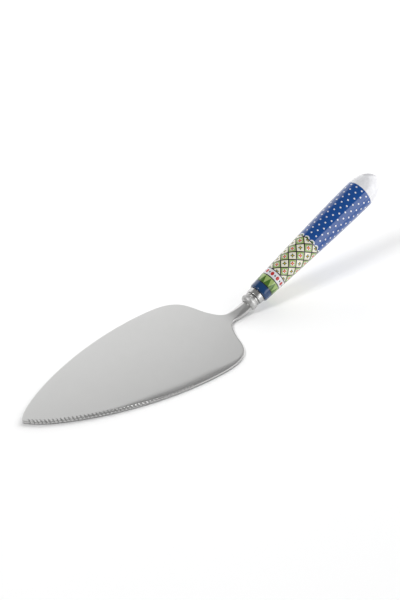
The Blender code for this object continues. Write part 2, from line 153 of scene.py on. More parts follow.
# Worked out from the sizes above
BEND_START = BLADE_LENGTH - BEND_LEAD
AXIS_HEIGHT = NECK_THICKNESS / 2 + NECK_DROP                     # the handle's axis, from the underside
TANG_BASE = (NECK_THICKNESS - TANG_THICKNESS) / 2                # the tang runs on the neck's middle
SEAT = BEND_START + BEND_RADIUS * CRANK_ANGLE + NECK_STRAIGHT    # front of the bead, along the underside
SHOULDER = SEAT + POCKET_DEPTH - FIT                             # end of the neck, in the bead's pocket
TANG_END = POCKET_DEPTH - FIT + TANG_LENGTH                      # along the handle's axis from the seat
BOLSTER_LENGTH = BEAD_LENGTH + 2 * GROOVE_WIDTH + RING_WIDTH
FERRULE_START = BOLSTER_LENGTH + FIT
COLLAR_END = FERRULE_START + COLLAR_LENGTH
SPIGOT_END = COLLAR_END + SPIGOT_LENGTH
SLOT_REACH = math.hypot(TANG_WIDTH / 2 + FIT, TANG_THICKNESS / 2 + NECK_DROP + FIT)
SPIGOT_RADIUS = SLOT_REACH + SPIGOT_WALL
MOUTH_RADIUS = SPIGOT_RADIUS + FIT
HANDLE_START = COLLAR_END + FIT

# A cross-section of the steel: its thickness, the height of its underside, and the parts of its edges
Shape = namedtuple("Shape", "thickness base under rise lean land crown power")
BLADE_SHAPE = Shape(BLADE_THICKNESS, 0.0, UNDER_WIDTH, UNDER_RISE, EDGE_LEAN,
                    EDGE_LAND, EDGE_CROWN, EDGE_POWER)
PLAIN_SHAPE = BLADE_SHAPE._replace(lean=0.0, land=PLAIN_LAND, crown=PLAIN_CROWN)
NECK_SHAPE = Shape(NECK_THICKNESS, 0.0, NECK_CHAMFER, NECK_CHAMFER, 0.0,
                   NECK_LAND, NECK_CROWN, NECK_POWER)
TANG_SHAPE = Shape(TANG_THICKNESS, TANG_BASE, TANG_CHAMFER, TANG_CHAMFER, 0.0,
                   TANG_THICKNESS - TANG_CHAMFER, TANG_CHAMFER, 1.0)

# Printed bands, as distances from the handle's front
NAVY_END = 4.7 * MM
SAW_START = 5.3 * MM
SAW_END = 10.4 * MM
BERRY_START = 11.0 * MM
BERRY_END = 15.2 * MM
TRELLIS_START = 15.8 * MM
TRELLIS_END = 43.2 * MM
SCALLOP_END = 46.6 * MM
PRINT_END = 90.8 * MM
RULE_WIDTH = 0.6 * MM                     # thin dark lines between the bands

# Ornament in those bands
MEAN_DIAMETER = 16.5 * MM                 # of the handle, turns shares of a turn into lengths
MEAN_GIRTH = math.pi * MEAN_DIAMETER
SAW_COUNT = 11                            # teeth of the saw band round the handle
BERRY_COUNT = 10
BERRY_RADIUS = 1.25 * MM
SEED_RADIUS = 0.55 * MM                   # black spots between the berries
TRELLIS_COUNT = 7                         # lozenges round the handle
TRELLIS_STEP = 6.85 * MM                  # length of a lozenge along the handle
ROUNDEL_SQUARE = 0.085                    # square of a roundel's radius, in shares of a lozenge's side
PETAL_WIDTH_SQUARE = 0.010                # squares of a petal's half width and half length, likewise
PETAL_LENGTH_SQUARE = 0.075
CENTRE_SQUARE = 0.008                     # square of the radius of a flower's centre
LATTICE_INNER = 0.43                      # middle of a lozenge to its dark border, in shares of its side
SCALLOP_COUNT = 12
SCALLOP_RADIUS = 2.0 * MM
SCALLOP_CORE = 1.3 * MM                   # radius of the green half disc in a scallop
DOT_COUNT = 14
DOT_STEP = 3.4 * MM                       # rows of dots along the handle
DOT_RADIUS = 0.52 * MM
DOTS_START = SCALLOP_END + 0.5 * MM
DOTS_END = PRINT_END - 0.8 * MM

# Colours, as linear red, green and blue
WHITE = (0.73, 0.73, 0.755)
CREAM = (0.82, 0.78, 0.62)
NAVY = (0.0, 0.039, 0.138)
BLUE = (0.0, 0.058, 0.265)
BLACK = (0.010, 0.010, 0.014)
LEAF = (0.060, 0.150, 0.014)
PALE_LEAF = (0.330, 0.460, 0.150)
RED = (0.480, 0.022, 0.022)
AMBER = (0.720, 0.380, 0.040)
SATIN_DARK = (0.590, 0.590, 0.585)
SATIN_PALE = (0.620, 0.620, 0.612)
TURNED_DARK = (0.52, 0.52, 0.515)
TURNED_PALE = (0.58, 0.58, 0.57)
CEMENT_DARK = (0.50, 0.46, 0.39)
CEMENT_PALE = (0.72, 0.68, 0.60)
FLOOR_DARK = (0.94, 0.94, 0.94)
FLOOR_PALE = (0.96, 0.96, 0.96)
SKY = (1.0, 1.0, 1.0, 1.0)

# Finishes
BEAD_ROUGHNESS = 0.48
COLLAR_ROUGHNESS = 0.22
NOISE_LOW = 0.3                           # most of a noise lies between these two values
NOISE_HIGH = 0.7
SATIN_GRAIN = (220.0, 2600.0, 2600.0)     # how fine the grain is along the blade, across it and upwards
TOOL_MARKS = (9000.0, 30.0, 30.0)         # the same for the lathe's marks, along the axis and across it
GRAIN_HEIGHT = 0.004 * MM
MARK_HEIGHT = 0.003 * MM
PORE_HEIGHT = 0.05 * MM
GLAZE_HEIGHT = 0.02 * MM                  # ripple of the glaze

# Camera, fitted to the photograph's view
LENS = 54.0
SENSOR = 36.0
LONG_SIDE = 600                           # pixels
CAMERA_PLACE = Vector((-274.74, -317.35, 311.78)) * MM
CAMERA_TURN = (math.radians(55.03), 0.0, math.radians(-39.56))
CLIP_START = 10.0 * MM
HALF_PIXEL = 0.5 / LONG_SIDE

# Floor, sky and soft boxes, in metres
FLOOR_SIZE = 6.0
FLOOR_DROP = 0.02 * MM                    # keeps the floor clear of the blade's underside
SKY_STRENGTH = 0.26
Panel = namedtuple("Panel", "place target size radiance")
ORIGIN = (0.0, 0.0, 0.0)
FRONT_PANEL = Panel((0.58, -1.03, 0.42), (0.07, 0.0, 0.02), (1.0, 0.84), 2.3)
PANELS = {
    "key": Panel((-1.19, 0.10, 1.365), ORIGIN, (0.5, 0.5), 16.0),
    "right": Panel((1.62, -0.43, 0.72), ORIGIN, (2.1, 2.1), 1.60),
    "back": Panel((0.23, 1.27, 0.52), ORIGIN, (1.75, 1.3), 1.06),
    "front": FRONT_PANEL,
    "edge": FRONT_PANEL._replace(radiance=0.7),
    "card": Panel((0.45, -0.40, 0.003), (0.45, -0.40, 1.0), (0.7, 0.5), 1.5),
    "table": Panel((1.34, 0.62, 1.03), ORIGIN, (1.6, 1.6), 2.3),
}


def mix_shapes(first, second, share):
    """The section part of the way from one shape to another."""
    return Shape(*(a + (b - a) * share for a, b in zip(first, second)))


def grow_shape(shape, margin):
    """A section that clears the given one by a margin all round."""
    return shape._replace(thickness=shape.thickness + 2 * margin, base=shape.base - margin,
                          land=shape.land + 2 * margin)


def smooth_step(value):
    """Eases from 0 to 1 while the value goes from 0 to 1."""
    share = min(max(value, 0.0), 1.0)
    return share * share * (3 - 2 * share)


def bezier(start, start_pull, end_pull, end, steps):
    """Points along a cubic curve, without its first point."""
    u = np.linspace(0.0, 1.0, steps + 1)[1:, None]
    corners = [np.array(p) for p in (start, start_pull, end_pull, end)]
    weights = [(1 - u) ** 3, 3 * u * (1 - u) ** 2, 3 * u ** 2 * (1 - u), u ** 3]
    return [tuple(p) for p in sum(w * c for w, c in zip(weights, corners))]


def arc(centre, radii, start, end, steps):
    """Points on an ellipse round a centre, from one angle to another."""
    angles = np.linspace(start, end, steps + 1)
    return [(centre[0] + radii[0] * math.cos(a), centre[1] + radii[1] * math.sin(a)) for a in angles]


# Blade

def blade_outline():
    """Flat outline of one side as (distance from the tip, half width)."""
    nose_turn = math.pi / 2 + TIP_HALF_ANGLE
    points = arc((NOSE_RADIUS, 0.0), (NOSE_RADIUS, NOSE_RADIUS), math.pi, nose_turn, ROUND_STEPS)
    x, y = points[-1]
    widest = (BLADE_LENGTH - WIDEST_TO_NECK, BLADE_WIDTH / 2)
    turn = (BLADE_LENGTH - SHOULDER_TO_NECK, BLADE_WIDTH / 2 - SHOULDER_DROP)
    along, inwards = math.cos(SHOULDER_ANGLE), -math.sin(SHOULDER_ANGLE)
    neck = (BLADE_LENGTH, NECK_WIDTH / 2)
    points += bezier((x, y),
                     (x + TIP_PULL * math.cos(TIP_HALF_ANGLE), y + TIP_PULL * math.sin(TIP_HALF_ANGLE)),
                     (widest[0] - BELLY_PULL, widest[1]), widest, CURVE_STEPS)
    widest_index = len(points) - 1
    points += bezier(widest, (widest[0] + SHOULDER_PULL, widest[1]),
                     (turn[0] - SHOULDER_BULGE * along, turn[1] - SHOULDER_BULGE * inwards),
                     turn, CURVE_STEPS)
    points += bezier(turn, (turn[0] + SHOULDER_HOLLOW * along, turn[1] + SHOULDER_HOLLOW * inwards),
                     (neck[0] - NECK_PULL, neck[1]), neck, CURVE_STEPS)
    return np.array(points), widest_index


def tooth_places(start):
    """Places of one tooth's cross-sections along the edge, each with its share of a notch's depth."""
    flank = (TOOTH_PITCH - TOOTH_LAND - NOTCH_FLAT) / 2
    face_end = start + TOOTH_LAND
    notch = face_end + flank
    return [(start, 0.0), (face_end, 0.0), (notch, 1.0), (notch + NOTCH_FLAT, 1.0)]


def edge_places(widest_length, total_length):
    """Places of all cross-sections along the edge, each with its share of a notch's depth."""
    places = [(TIP_CUT, 0.0)]
    places += [(place, 0.0) for place in np.linspace(0.0, TEETH_FROM_TIP, ROUND_STEPS + 2)[1:-1]]
    teeth = int((widest_length - TEETH_TO_WIDEST - TEETH_FROM_TIP) / TOOTH_PITCH)
    for tooth in range(teeth):
        places += tooth_places(TEETH_FROM_TIP + tooth * TOOTH_PITCH)
    plain_from = TEETH_FROM_TIP + teeth * TOOTH_PITCH
    plain_steps = math.ceil((total_length - plain_from) / EDGE_STEP)
    places += [(place, 0.0) for place in np.linspace(plain_from, total_length, plain_steps + 1)]
    return places


def fit_shape(shape, half_width, slant):
    """The shape with its slope no wider than the blade allows, and less deep where it is narrower."""
    crown = min(shape.crown * slant, (1 - LEAST_CORE) * half_width)
    depth = max(crown / (shape.crown * slant), LEAST_DEPTH)
    drop = (shape.thickness - shape.land) * depth
    return shape._replace(lean=shape.lean * depth, crown=crown, land=shape.thickness - drop)


def edge_side(half_width, shape, slant, notch):
    """One side of a cross-section from the underside to the top, as (distance out, height)."""
    drop = shape.thickness - shape.land
    lean_share = (NOTCH_FLOOR - shape.rise) / (shape.land - shape.rise)
    points = [(shape.under, 0.0), (0.0, shape.rise), (shape.lean * lean_share, NOTCH_FLOOR)]
    points += [(shape.lean + crown_share * (shape.crown - shape.lean),
                shape.thickness - drop * (1 - crown_share) ** shape.power)
               for crown_share in np.linspace(0.0, 1.0, CROWN_STEPS + 1)]
    side = []
    for inset, height in points:
        cut = notch * NOTCH_REACH * slant * (height - NOTCH_FLOOR) / (shape.thickness - NOTCH_FLOOR)
        inset = min(max(inset, cut), (1 - LEAST_CORE) * half_width)
        side.append((half_width - inset, shape.base + height))
    return side


def section(half_width, shape, plain_shape, slant=1.0, notch=0.0):
    """A closed cross-section as (y, height), with the toothed edge on the -Y side."""
    toothed = edge_side(half_width, shape, slant, notch)
    plain = edge_side(half_width, plain_shape, slant, 0.0)
    loop = [(0.0, shape.base)]
    loop += [(-y, height) for y, height in toothed]
    loop += [(0.0, shape.base + shape.thickness)]
    loop += [(y, height) for y, height in reversed(plain)]
    return loop


def bend(distance, y, height):
    """Where a point of the flat blank ends up once the neck is bent."""
    run = max(distance - BEND_START, 0.0)
    angle = min(run / BEND_RADIUS, CRANK_ANGLE)
    straight = run - angle * BEND_RADIUS
    x = min(distance, BEND_START) + BEND_RADIUS * math.sin(angle) + straight * math.cos(angle)
    z = BEND_RADIUS * (1 - math.cos(angle)) + straight * math.sin(angle)
    return Vector((x - height * math.sin(angle), y, z + height * math.cos(angle)))


def steel_shapes(distance, half_width, slant=1.0):
    """The shapes of both edges at a distance from the tip, which thicken from the blade to the neck."""
    slope_share = smooth_step((distance - SLOPE_START) / (SLOPE_FULL - SLOPE_START))
    slope_share *= smooth_step((BLADE_LENGTH - SHOULDER_TO_NECK - distance) / SLOPE_FADE)
    blend_start = BLADE_LENGTH - NECK_BLEND
    neck_share = smooth_step((distance - blend_start) / (SEAT - blend_start))
    return [mix_shapes(fit_shape(edge, half_width, slant), NECK_SHAPE, neck_share)
            for edge in (mix_shapes(PLAIN_SHAPE, BLADE_SHAPE, slope_share), PLAIN_SHAPE)]


def blade_sections():
    """Every cross-section of the blade, neck and tang as (distance from the tip, loop)."""
    points, widest_index = blade_outline()
    steps = np.hypot(*np.diff(points, axis=0).T)
    lengths = np.concatenate([[0.0], np.cumsum(steps)])
    sections = []
    for place, notch in edge_places(lengths[widest_index], lengths[-1]):
        piece = min(np.searchsorted(lengths, place, side="right"), len(steps)) - 1
        slant = steps[piece] / (points[piece + 1, 0] - points[piece, 0])
        distance = np.interp(place, lengths, points[:, 0])
        half_width = np.interp(place, lengths, points[:, 1])
        shapes = steel_shapes(distance, half_width, slant)
        sections.append((distance, section(half_width, *shapes, slant, notch)))
    for distance in np.linspace(BLADE_LENGTH, SEAT, BEND_STEPS + 1)[1:]:
        sections.append((distance, section(NECK_WIDTH / 2, *steel_shapes(distance, NECK_WIDTH / 2))))
    sections.append((SHOULDER, section(NECK_WIDTH / 2, NECK_SHAPE, NECK_SHAPE)))
    sections.append((SHOULDER, section(TANG_WIDTH / 2, TANG_SHAPE, TANG_SHAPE)))
    sections.append((SHOULDER + TANG_LENGTH, section(TANG_TIP_WIDTH / 2, TANG_SHAPE, TANG_SHAPE)))
    return sections


def loft(rings):
    """A closed mesh through rings of points that all have the same count."""
    mesh = bmesh.new()
    loops = [[mesh.verts.new(point) for point in ring] for ring in rings]
    count = len(loops[0])
    for near, far in zip(loops, loops[1:]):
        for k in range(count):
            mesh.faces.new((near[k], near[(k + 1) % count], far[(k + 1) % count], far[k]))
    mesh.faces.new(loops[0])
    mesh.faces.new(loops[-1])
    bmesh.ops.recalc_face_normals(mesh, faces=mesh.faces)
    return mesh


def make_blade():
    """Blade, neck and tang as one piece, lofted flat and bent at the neck."""
    return loft([[bend(distance, y, z) for y, z in loop] for distance, loop in blade_sections()])


# Turned pieces, along +Z from the front of the bead

def turn(profile):
    """A closed mesh from a profile of (radius, height) that starts and ends on the axis."""
    mesh = bmesh.new()
    angles = [2 * math.pi * k / TURN_SEGMENTS for k in range(TURN_SEGMENTS)]
    rings = []
    for radius, height in profile:
        if radius < ON_AXIS:
            rings.append([mesh.verts.new((0.0, 0.0, height))])
        else:
            corners = [(radius * math.cos(a), radius * math.sin(a), height) for a in angles]
            rings.append([mesh.verts.new(corner) for corner in corners])
    for lower, upper in zip(rings, rings[1:]):
        for k in range(TURN_SEGMENTS):
            around = [lower[k % len(lower)], lower[(k + 1) % len(lower)],
                      upper[(k + 1) % len(upper)], upper[k % len(upper)]]
            mesh.faces.new(list(dict.fromkeys(around)))
    bmesh.ops.recalc_face_normals(mesh, faces=mesh.faces)
    return mesh


def rounded_step(radius, start, end, rounding):
    """Profile of a cylinder between two heights, with both its corners rounded."""
    inner = radius - rounding
    return (arc((inner, start + rounding), (rounding, rounding), -math.pi / 2, 0.0, ROUND_STEPS)
            + arc((inner, end - rounding), (rounding, rounding), 0.0, math.pi / 2, ROUND_STEPS))


def make_bolster():
    """Bead, groove and ring in one turned piece, solid until it is slotted."""
    bead_radius = NECK_WIDTH / 2 + BEAD_LIP
    groove_radius = bead_radius - GROOVE_DEPTH
    round_radius = BEAD_LENGTH / 2
    bead_back = math.asin((groove_radius - bead_radius + round_radius) / round_radius)
    ring_start = BEAD_LENGTH + GROOVE_WIDTH
    profile = [(0.0, 0.0)]
    profile += arc((bead_radius - round_radius, round_radius), (round_radius, -round_radius),
                   math.pi / 2, -math.pi / 2 + bead_back, BEAD_STEPS)
    profile += [(groove_radius, ring_start)]
    ring_end = ring_start + RING_WIDTH
    profile += rounded_step(groove_radius + RING_HEIGHT, ring_start, ring_end, RING_ROUND)
    profile += [(groove_radius, ring_end), (groove_radius, BOLSTER_LENGTH), (0.0, BOLSTER_LENGTH)]
    return turn(profile)


def make_ferrule():
    """Collar and spigot in one turned piece, solid until it is slotted."""
    front = SPIGOT_RADIUS + COLLAR_STEP
    back = front + COLLAR_FLARE
    profile = [(0.0, FERRULE_START)]
    profile += arc((front - COLLAR_ROUND, FERRULE_START + COLLAR_ROUND), (COLLAR_ROUND, COLLAR_ROUND),
                   -math.pi / 2, 0.0, ROUND_STEPS)
    profile += arc((back - COLLAR_ROUND, COLLAR_END - COLLAR_ROUND), (COLLAR_ROUND, COLLAR_ROUND),
                   0.0, math.pi / 2, ROUND_STEPS)
    profile += [(SPIGOT_RADIUS, COLLAR_END), (SPIGOT_RADIUS, SPIGOT_END), (0.0, SPIGOT_END)]
    return turn(profile)


def handle_taper():
    """Outer profile of the handle from behind its lip to its widest line, as (radius, height)."""
    front = (HANDLE_FRONT_DIAMETER / 2, HANDLE_START + LIP_ROUND)
    widest = (HANDLE_DIAMETER / 2, HANDLE_START + HANDLE_LENGTH - BUTT_LENGTH)
    return bezier(front, (front[0] + FRONT_SWELL, front[1] + FRONT_PULL),
                  (widest[0], widest[1] - BACK_PULL), widest, TAPER_STEPS)


def handle_cavity():
    """Inside of the handle from its mouth to the end of the hollow, as (radius, height)."""
    taper = [(max(MOUTH_RADIUS, radius - HANDLE_WALL), height) for radius, height in handle_taper()]
    radius, height = taper[-1]
    butt = arc((0.0, height), (radius, BUTT_LENGTH - HANDLE_WALL), 0.0, math.pi / 2, BUTT_STEPS)
    return [(MOUTH_RADIUS, HANDLE_START)] + taper + butt[1:-1] + [(0.0, butt[-1][1])]


def make_handle():
    """Hollow porcelain handle, open at the front."""
    taper = handle_taper()
    lip_centre = (HANDLE_FRONT_DIAMETER / 2 - LIP_ROUND, HANDLE_START + LIP_ROUND)
    lip = arc(lip_centre, (LIP_ROUND, LIP_ROUND), -math.pi / 2, 0.0, ROUND_STEPS)
    radius, height = taper[-1]
    butt = arc((0.0, height), (radius, BUTT_LENGTH), 0.0, math.pi / 2, BUTT_STEPS)
    inside = list(reversed(handle_cavity()))
    return turn(inside + lip + taper + butt[1:-1] + [(0.0, butt[-1][1])])


# Cutters for the slots, along the handle's axis

def slot_cutter(start, end, start_width, end_width, shape):
    """A prism of the steel's section, cleared all round, between two heights on the axis."""
    rings = []
    for height, width in ((start, start_width), (end, end_width)):
        grown = grow_shape(shape, FIT)
        loop = section(width / 2 + FIT, grown, grown)
        rings.append([Vector((AXIS_HEIGHT - z, y, height)) for y, z in loop])
    return loft(rings)


def make_tang_cutter():
    """What the bead and the collar leave free for the tang."""
    ahead = POCKET_DEPTH
    spread = (TANG_WIDTH - TANG_TIP_WIDTH) / TANG_LENGTH
    return slot_cutter(-ahead, TANG_END + FIT, TANG_WIDTH + spread * ahead, TANG_TIP_WIDTH, TANG_SHAPE)


def make_neck_cutter():
    """The pocket in the bead for the end of the neck."""
    return slot_cutter(-POCKET_DEPTH, POCKET_DEPTH, NECK_WIDTH, NECK_WIDTH, NECK_SHAPE)


# Materials

class Field:
    """A number that varies over the surface, worked out by a material's nodes."""

    def __init__(self, graph, socket):
        self.graph = graph
        self.socket = socket

    def __add__(self, other):
        return self.graph.math("ADD", self, other)

    def __sub__(self, other):
        return self.graph.math("SUBTRACT", self, other)

    def __rsub__(self, other):
        return self.graph.math("SUBTRACT", other, self)

    def __mul__(self, other):
        return self.graph.math("MULTIPLY", self, other)

    def __truediv__(self, other):
        return self.graph.math("DIVIDE", self, other)

    def __lt__(self, other):
        return self.graph.math("LESS_THAN", self, other)

    def __gt__(self, other):
        return self.graph.math("GREATER_THAN", self, other)

    def __abs__(self):
        return self.graph.math("ABSOLUTE", self)

    def fraction(self):
        return self.graph.math("FRACT", self)

    def floor(self):
        return self.graph.math("FLOOR", self)

    def smaller(self, other):
        return self.graph.math("MINIMUM", self, other)

    def larger(self, other):
        return self.graph.math("MAXIMUM", self, other)

    def between(self, low, high):
        return (self > low) * (self < high)


class Graph:
    """A material whose nodes are added one by one, with its Principled shader."""

    def __init__(self, name):
        self.material = bpy.data.materials.new(name)
        self.material.use_nodes = True
        self.tree = self.material.node_tree
        self.shader = self.tree.nodes["Principled BSDF"]

    def node(self, kind, **settings):
        node = self.tree.nodes.new("ShaderNode" + kind)
        for key, value in settings.items():
            setattr(node, key, value)
        return node

    def feed(self, socket, value):
        """Give a socket a field, another socket, or a plain value."""
        if isinstance(value, Field):
            value = value.socket
        if isinstance(value, bpy.types.NodeSocket):
            self.tree.links.new(value, socket)
        elif isinstance(value, tuple) and len(value) == 3 and socket.type == "RGBA":
            socket.default_value = (*value, 1.0)
        else:
            socket.default_value = value

    def math(self, operation, *values):
        node = self.node("Math", operation=operation)
        for socket, value in zip(node.inputs, values):
            self.feed(socket, value)
        return Field(self, node.outputs[0])

    def mix(self, share, first, second):
        """Colour that goes from the first to the second as the share goes from 0 to 1."""
        node = self.node("Mix", data_type="RGBA")
        self.feed(node.inputs["Factor"], share)
        self.feed(node.inputs["A"], first)
        self.feed(node.inputs["B"], second)
        return node.outputs["Result"]

    def spread(self, value, low, high, start=NOISE_LOW, end=NOISE_HIGH):
        """A field that goes from low to high, and no further, while the value goes from start to end."""
        node = self.node("MapRange", clamp=True)
        for socket, number in zip(node.inputs, (value, start, end, low, high)):
            self.feed(socket, number)
        return Field(self, node.outputs["Result"])

    def place(self, scale=(1.0, 1.0, 1.0), turn=0.0):
        """Coordinates on the piece, turned about Y and then stretched along the axes."""
        coordinates = self.node("TexCoord")
        turned = self.node("VectorRotate", rotation_type="Y_AXIS")
        self.feed(turned.inputs["Vector"], coordinates.outputs["Object"])
        turned.inputs["Angle"].default_value = turn
        mapping = self.node("Mapping")
        self.feed(mapping.inputs["Vector"], turned.outputs["Vector"])
        mapping.inputs["Scale"].default_value = scale
        return mapping.outputs["Vector"]

    def noise(self, vector, scale, detail=2.0):
        node = self.node("TexNoise")
        self.feed(node.inputs["Vector"], vector)
        node.inputs["Scale"].default_value = scale
        node.inputs["Detail"].default_value = detail
        return Field(self, node.outputs["Fac"])

    def bump(self, height, distance):
        """Fine relief in the shading, as high as the distance where the field is 1."""
        node = self.node("Bump")
        node.inputs["Distance"].default_value = distance
        self.feed(node.inputs["Height"], height)
        self.feed(self.shader.inputs["Normal"], node.outputs["Normal"])

    def finish(self, **values):
        """Set the shader's own sockets, named in words with underscores."""
        for key, value in values.items():
            self.feed(self.shader.inputs[key.replace("_", " ").title().replace("Ior", "IOR")], value)
        return self.material


def satin_steel():
    """Fine satin grain along the blade, with faint smudges."""
    graph = Graph("satin_steel_finish")
    grain = graph.noise(graph.place(SATIN_GRAIN), scale=1.0, detail=3.0)
    smudge = graph.noise(graph.place(), scale=38.0)
    rough = graph.spread(grain, low=0.30, high=0.36) + graph.spread(smudge, low=-0.02, high=0.02)
    colour = graph.mix(graph.spread(smudge, 0.0, 1.0), SATIN_DARK, SATIN_PALE)
    graph.bump(grain, GRAIN_HEIGHT)
    return graph.finish(base_color=colour, metallic=1.0, roughness=rough)


def polished_steel(bead_front):
    """Turned steel with the tool's faint rings, satin on the bead and polished on ring and collar."""
    graph = Graph("polished_steel_finish")
    rings = graph.noise(graph.place(TOOL_MARKS, turn=CRANK_ANGLE), scale=1.0)
    smudge = graph.noise(graph.place(), scale=260.0)
    parts = graph.node("SeparateXYZ")
    graph.feed(parts.inputs[0], graph.place(turn=CRANK_ANGLE))
    bead_end = bead_front + BEAD_LENGTH
    finish = graph.spread(parts.outputs["X"], BEAD_ROUGHNESS, COLLAR_ROUGHNESS,
                          bead_end, bead_end + GROOVE_WIDTH)
    rough = finish + graph.spread(rings, low=0.0, high=0.07)
    rough += graph.spread(smudge, low=0.0, high=0.05, start=0.4)
    colour = graph.mix(graph.spread(smudge, 0.0, 1.0), TURNED_DARK, TURNED_PALE)
    graph.bump(rings, MARK_HEIGHT)
    return graph.finish(base_color=colour, metallic=1.0, roughness=rough)


def setting_cement():
    """Chalky cement with fine pores."""
    graph = Graph("setting_cement_finish")
    pores = graph.noise(graph.place(), scale=900.0, detail=4.0)
    colour = graph.mix(pores, CEMENT_DARK, CEMENT_PALE)
    graph.bump(pores, PORE_HEIGHT)
    return graph.finish(base_color=colour, roughness=0.85)


def printed_porcelain():
    """White porcelain with bands of simple ornament under a clear glaze."""
    graph = Graph("printed_porcelain_finish")
    uv = graph.node("UVMap", uv_map="print")
    parts = graph.node("SeparateXYZ")
    graph.feed(parts.inputs[0], uv.outputs["UV"])
    around = Field(graph, parts.outputs["X"])
    along = Field(graph, parts.outputs["Y"]) * HANDLE_LENGTH

    def cell(count, shift=0.0):
        """Sideways distance from the middle of a repeat, shifted by a share of it."""
        return ((around * count + shift).fraction() - 0.5) * (MEAN_GIRTH / count)

    def disc(across, up, radius):
        """1 inside a circle and 0 outside it."""
        return across * across + up * up < radius * radius

    def paint(share, colour):
        """Lay a colour over the print so far, where the share is 1."""
        nonlocal print_colour
        print_colour = graph.mix(share, print_colour, colour)

    print_colour = WHITE
    paint(along < NAVY_END, NAVY)

    saw_share = (along - SAW_START) / (SAW_END - SAW_START)
    saw = abs((around * SAW_COUNT).fraction() - 0.5) * 2.0
    in_saw = along.between(SAW_START, SAW_END)
    paint(in_saw, PALE_LEAF)
    paint(in_saw * (saw_share < saw), LEAF)

    berry_up = along - (BERRY_START + BERRY_END) / 2
    paint(disc(cell(BERRY_COUNT), berry_up, BERRY_RADIUS), RED)
    paint(disc(cell(BERRY_COUNT, shift=0.5), berry_up, SEED_RADIUS), BLACK)

    in_trellis = along.between(TRELLIS_START, TRELLIS_END)
    rise = (along - TRELLIS_START) / TRELLIS_STEP
    sum_line = around * TRELLIS_COUNT + rise
    gap_line = around * TRELLIS_COUNT - rise
    p = sum_line.fraction() - 0.5
    q = gap_line.fraction() - 0.5
    from_middle = p * p + q * q
    odd = ((sum_line.floor() - gap_line.floor()) / 2.0).fraction() > 0.25
    paint(in_trellis, CREAM)
    paint(in_trellis * odd, PALE_LEAF)
    paint(in_trellis * (from_middle < ROUNDEL_SQUARE), WHITE)
    petal_along_q = p * p / PETAL_WIDTH_SQUARE + q * q / PETAL_LENGTH_SQUARE
    petal_along_p = q * q / PETAL_WIDTH_SQUARE + p * p / PETAL_LENGTH_SQUARE
    petals = petal_along_q.smaller(petal_along_p) < 1.0
    paint(in_trellis * petals * odd, RED)
    paint(in_trellis * petals * (1.0 - odd), LEAF)
    paint(in_trellis * (from_middle < CENTRE_SQUARE), AMBER)
    paint(in_trellis * (abs(p).larger(abs(q)) > LATTICE_INNER), BLACK)

    paint(along.between(TRELLIS_END, PRINT_END), BLUE)
    scallop = cell(SCALLOP_COUNT)
    scallop_up = along - TRELLIS_END
    in_scallop = along.between(TRELLIS_END, SCALLOP_END)
    paint(in_scallop * disc(scallop, scallop_up, SCALLOP_RADIUS), WHITE)
    paint(in_scallop * disc(scallop, scallop_up, SCALLOP_CORE), LEAF)

    dot_row = (along - SCALLOP_END) / DOT_STEP
    every_other = (dot_row.floor() / 2.0).fraction()
    dot_up = (dot_row.fraction() - 0.5) * DOT_STEP
    in_dots = along.between(DOTS_START, DOTS_END)
    paint(in_dots * disc(cell(DOT_COUNT, every_other), dot_up, DOT_RADIUS), WHITE)

    for edge in (NAVY_END, SAW_END, BERRY_END, TRELLIS_END):
        paint(along.between(edge, edge + RULE_WIDTH), BLACK)

    ink = graph.noise(graph.place(), scale=700.0, detail=3.0)
    worn = graph.node("HueSaturation")
    graph.feed(worn.inputs["Value"], graph.spread(ink, low=0.93, high=1.05))
    graph.feed(worn.inputs["Color"], print_colour)
    ripple = graph.noise(graph.place(), scale=90.0, detail=1.0)
    graph.bump(ripple, GLAZE_HEIGHT)
    rough = graph.spread(ink, low=0.16, high=0.24)
    return graph.finish(base_color=worn.outputs["Color"], roughness=rough, specular_ior_level=0.15,
                        coat_weight=1.0, coat_roughness=0.03, coat_ior=1.5)


def pale_floor():
    """Matt white floor, very faintly mottled."""
    graph = Graph("pale_floor")
    mottle = graph.noise(graph.place(), scale=3.0)
    colour = graph.mix(mottle, FLOOR_DARK, FLOOR_PALE)
    return graph.finish(base_color=colour, roughness=0.9, specular_ior_level=0.0)


# Pieces

def add_piece(name, shape, material=None):
    """A new object in the scene, made from a bmesh that is then freed."""
    mesh = bpy.data.meshes.new(name)
    shape.to_mesh(mesh)
    shape.free()
    if material:
        mesh.materials.append(material)
    piece = bpy.data.objects.new(name, mesh)
    bpy.context.scene.collection.objects.link(piece)
    return piece


def smooth(piece, angle):
    """Smooth shading, with edges sharper than the angle left crisp."""
    piece.data.shade_smooth()
    piece.data.set_sharp_from_angle(angle=angle)


def stand_on_axis(piece, start):
    """Move a turned piece, which is made along +Z, to the handle's axis."""
    turned = Matrix.Rotation(math.pi / 2 - CRANK_ANGLE, 4, "Y")
    piece.data.transform(Matrix.Translation(start) @ turned)


def cut(piece, *cutters):
    """Take the cutters' shapes out of a piece, and bake the result into its mesh."""
    for cutter in cutters:
        slot = piece.modifiers.new(cutter.name, "BOOLEAN")
        slot.operation = "DIFFERENCE"
        slot.solver = "EXACT"
        slot.object = cutter
    graph = bpy.context.evaluated_depsgraph_get()
    mesh = bpy.data.meshes.new_from_object(piece.evaluated_get(graph))
    piece.modifiers.clear()
    piece.data = mesh


def turn_share(place):
    """How far round the +Z axis a place lies, as a share of a full turn."""
    return math.atan2(place.y, place.x) / (2 * math.pi)


